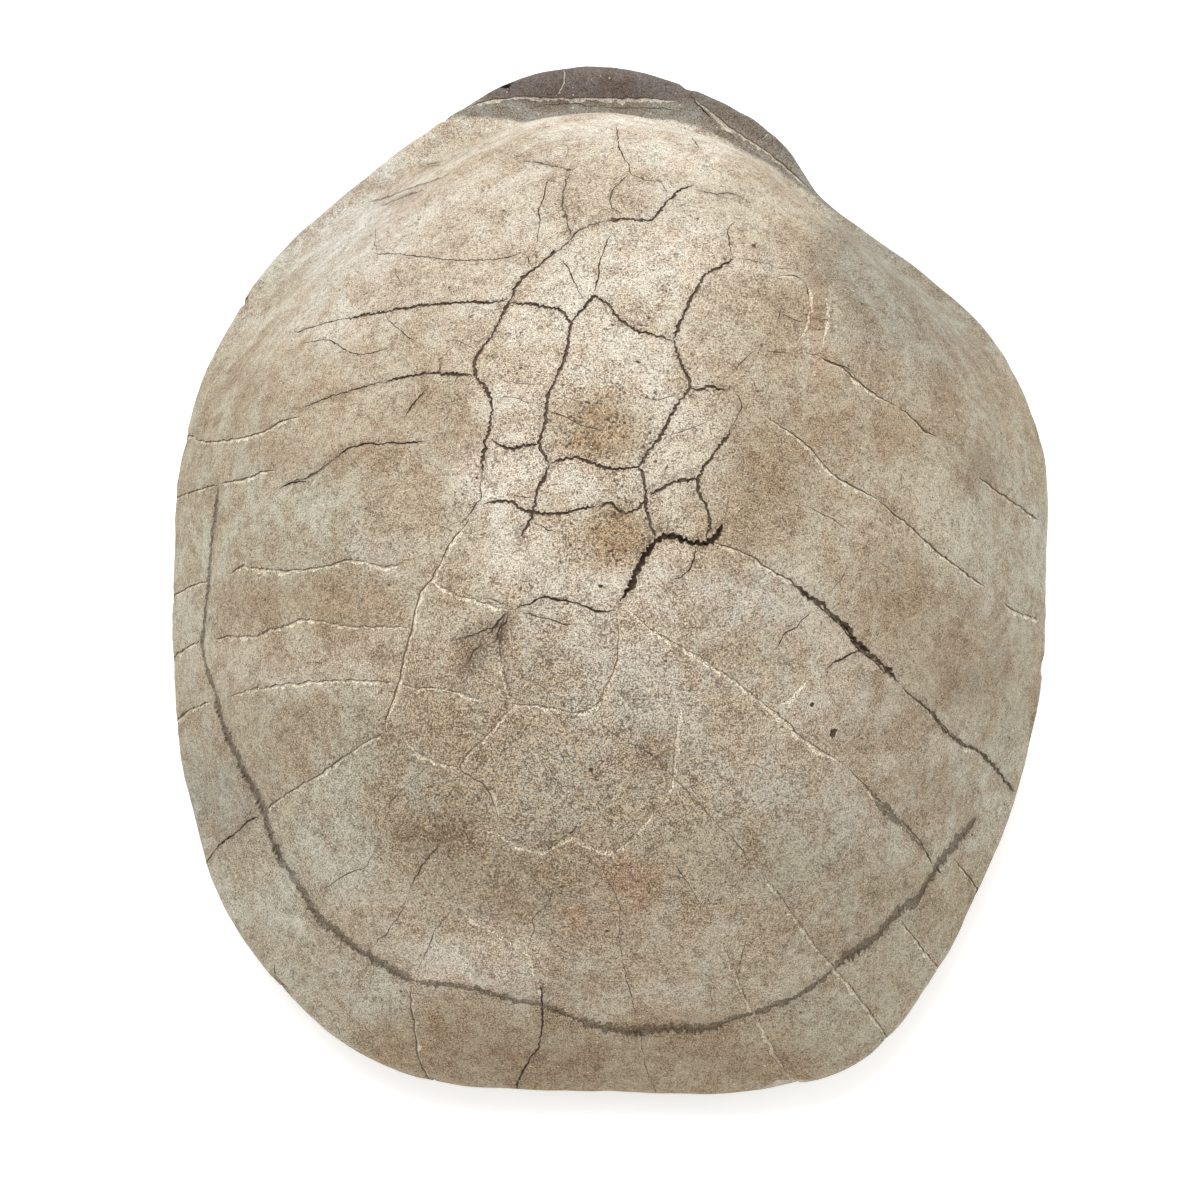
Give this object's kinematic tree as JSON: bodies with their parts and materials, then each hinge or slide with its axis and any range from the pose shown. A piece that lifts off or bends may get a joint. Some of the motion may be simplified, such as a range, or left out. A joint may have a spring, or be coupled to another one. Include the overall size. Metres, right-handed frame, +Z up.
{
  "type": "fossil tortoise shell",
  "caption": "Fossil tortoise shell: domed upper shell with cracked plate seams, flared rim and flat lower shell, filled with stone as one piece.",
  "frame": {"origin": "middle of the shell's box, on the surface that the lower shell rests on", "axes": "+Y towards the head end, +X towards the animal's right side, +Z up through the dome"},
  "size_m": [0.298, 0.356, 0.158],
  "materials": {
    "fossil_bone": "dry mineralised bone, cream on the crown and grey-brown on the flanks, with dark cracks"
  },
  "bodies": {
    "root": {"fossil_shell": "fossil_bone"}
  },
  "joints": []
}
